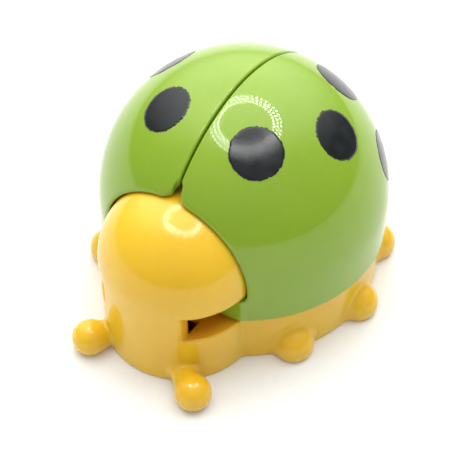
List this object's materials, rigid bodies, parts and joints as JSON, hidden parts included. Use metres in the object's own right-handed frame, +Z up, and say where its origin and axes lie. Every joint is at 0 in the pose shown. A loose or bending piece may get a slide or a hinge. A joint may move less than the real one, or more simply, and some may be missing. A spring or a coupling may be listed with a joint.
{
  "type": "ladybird desk toy",
  "caption": "Push-button ladybird toy: pressing its tail swings two domed wing cases outwards on upright pins; a spring shuts them.",
  "frame": {"origin": "on the flat underside, on the upright axis of the domed wing cases", "axes": "+Z up, -Y forward (towards the head), +X to the ladybird's left"},
  "size_m": [0.0696, 0.0819, 0.0526],
  "materials": {
    "yellow_plastic": "moulded, glossy warm yellow",
    "green_plastic": "moulded, glossy leaf green with pad-printed black spots",
    "white_plastic": "moulded natural acetal",
    "red_plastic": "moulded red acetal",
    "steel": "zinc plated"
  },
  "bodies": {
    "body": {"body_shell": "yellow_plastic", "abdomen_cover": "yellow_plastic", "base_cover": "yellow_plastic", "gear_cover": "white_plastic", "left_pivot_pin": "steel", "right_pivot_pin": "steel", "return_spring": "steel", "base_screw_1": "steel", "base_screw_2": "steel", "base_screw_3": "steel", "base_screw_4": "steel", "gear_cover_screw_1": "steel", "gear_cover_screw_2": "steel", "abdomen_screw_1": "steel", "abdomen_screw_2": "steel", "abdomen_screw_3": "steel", "abdomen_screw_4": "steel"},
    "left_wing_case": {"left_wing": "green_plastic", "left_wing_gear": "red_plastic"},
    "right_wing_case": {"right_wing": "green_plastic", "right_wing_gear": "red_plastic"},
    "pusher": {"fork_rack": "red_plastic", "tail_button": "yellow_plastic"}
  },
  "joints": [
    {"name": "left_wing_swing", "type": "hinge", "parent": "body", "child": "left_wing_case", "pos_m": [0.0057, -0.0278, 0.0166], "axis": [0, 0, -1], "range_deg": [0, 60]},
    {"name": "right_wing_swing", "type": "hinge", "parent": "body", "child": "right_wing_case", "pos_m": [-0.0057, -0.0278, 0.0166], "axis": [0, 0, 1], "range_deg": [0, 60]},
    {"name": "tail_push", "type": "slide", "parent": "body", "child": "pusher", "axis": [0, -1, 0], "range_m": [0, 0.00367], "stiffness_N_per_m": 40, "springref_m": -0.004, "deforming": ["return_spring"]}
  ],
  "couplings": [
    {"joint": "right_wing_swing", "follows": "left_wing_swing", "ratio": 1},
    {"joint": "tail_push", "follows": "left_wing_swing", "m_per_rad": 0.0035}
  ]
}
